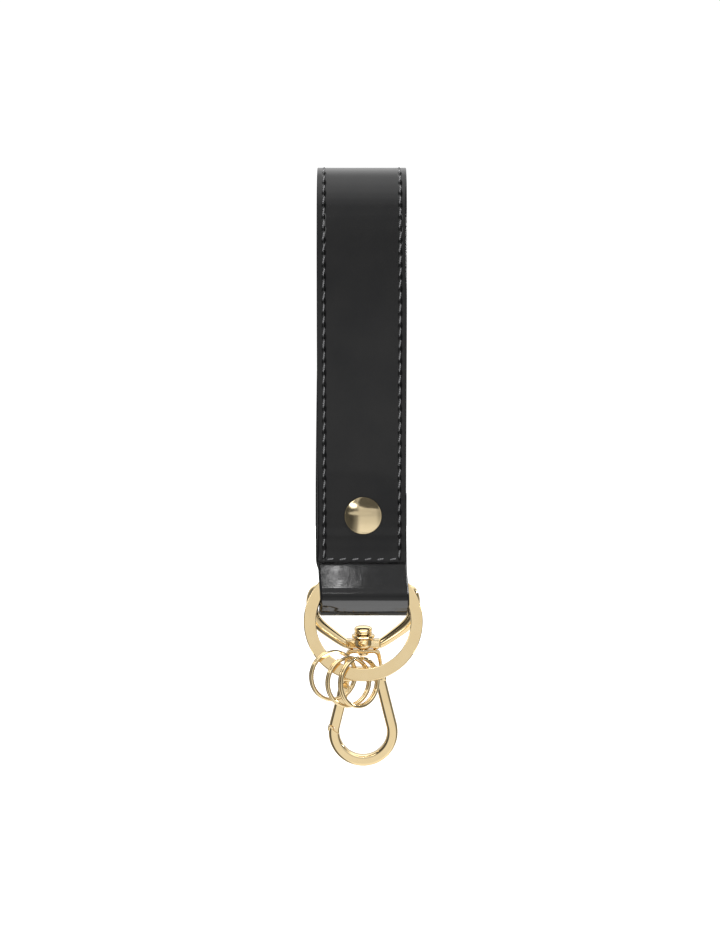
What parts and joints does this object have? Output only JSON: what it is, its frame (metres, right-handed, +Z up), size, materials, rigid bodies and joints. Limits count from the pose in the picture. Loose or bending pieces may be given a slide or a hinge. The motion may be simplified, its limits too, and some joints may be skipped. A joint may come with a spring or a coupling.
{
  "type": "wristlet keychain",
  "caption": "Black patent leather hand loop with riveted front, large flat split ring, small split rings and a gold swivel snap hook.",
  "frame": {"origin": "inside of the hand loop at its top, where a hand or a peg carries the strap", "axes": "+Z up with the strap hanging, +X across the strap to the right, the front of the strap faces -Y"},
  "size_m": [0.035, 0.0257, 0.1788],
  "materials": {
    "patent_leather": "high gloss black",
    "lining_leather": "matt black",
    "thread": "waxed black thread",
    "gold_plate": "polished light gold plate",
    "satin_gold": "satin light gold plate",
    "spring_steel": "drawn wire"
  },
  "bodies": {
    "strap": {"strap_outer": "patent_leather", "strap_lining": "lining_leather", "thread_row_left": "thread", "thread_row_right": "thread", "thread_row_end": "thread", "rivet_cap_front": "satin_gold", "rivet_post": "satin_gold", "rivet_cap_back": "satin_gold"},
    "large_ring": {"large_split_ring": "gold_plate"},
    "small_ring_1": {"small_split_ring_1": "gold_plate"},
    "small_ring_2": {"small_split_ring_2": "gold_plate"},
    "small_ring_3": {"small_split_ring_3": "gold_plate"},
    "frame": {"swivel_frame": "gold_plate"},
    "hook": {"swivel_washer": "gold_plate", "swivel_post": "gold_plate", "hook_body": "gold_plate", "gate_pin": "gold_plate"},
    "gate": {"gate": "gold_plate", "gate_plunger": "spring_steel", "gate_spring": "spring_steel"}
  },
  "joints": [
    {"name": "large_ring_turn", "type": "hinge", "parent": "strap", "child": "large_ring", "pos_m": [0, -0.00549, -0.1316], "axis": [0, -0.9703, 0.2419], "continuous": true},
    {"name": "small_ring_1_slide", "type": "hinge", "parent": "strap", "child": "small_ring_1", "pos_m": [0, -0.00549, -0.1316], "axis": [0, 0.9703, -0.2419], "range_deg": [0, 25]},
    {"name": "small_ring_2_slide", "type": "hinge", "parent": "strap", "child": "small_ring_2", "pos_m": [0, -0.00549, -0.1316], "axis": [0, 0.9703, -0.2419], "range_deg": [0, 25]},
    {"name": "small_ring_3_slide", "type": "hinge", "parent": "strap", "child": "small_ring_3", "pos_m": [0, -0.00549, -0.1316], "axis": [0, 0.9703, -0.2419], "range_deg": [-35, 0]},
    {"name": "frame_swing", "type": "hinge", "parent": "strap", "child": "frame", "pos_m": [0, 0, -0.1224], "axis": [1, 0, 0], "range_deg": [0, 110]},
    {"name": "hook_swivel", "type": "hinge", "parent": "frame", "child": "hook", "pos_m": [0, 0.0016, -0.14063], "axis": [0, -0.0872, 0.9962], "continuous": true},
    {"name": "gate_hinge", "type": "hinge", "parent": "hook", "child": "gate", "pos_m": [-0.00572, 0.00262, -0.15229], "axis": [0, -0.9962, -0.0872], "range_deg": [0, 28], "stiffness_Nm_per_rad": 0.02, "springref_deg": -8.59}
  ],
  "couplings": [
    {"joint": "small_ring_1_slide", "follows": "small_ring_2_slide", "ratio": 1}
  ]
}
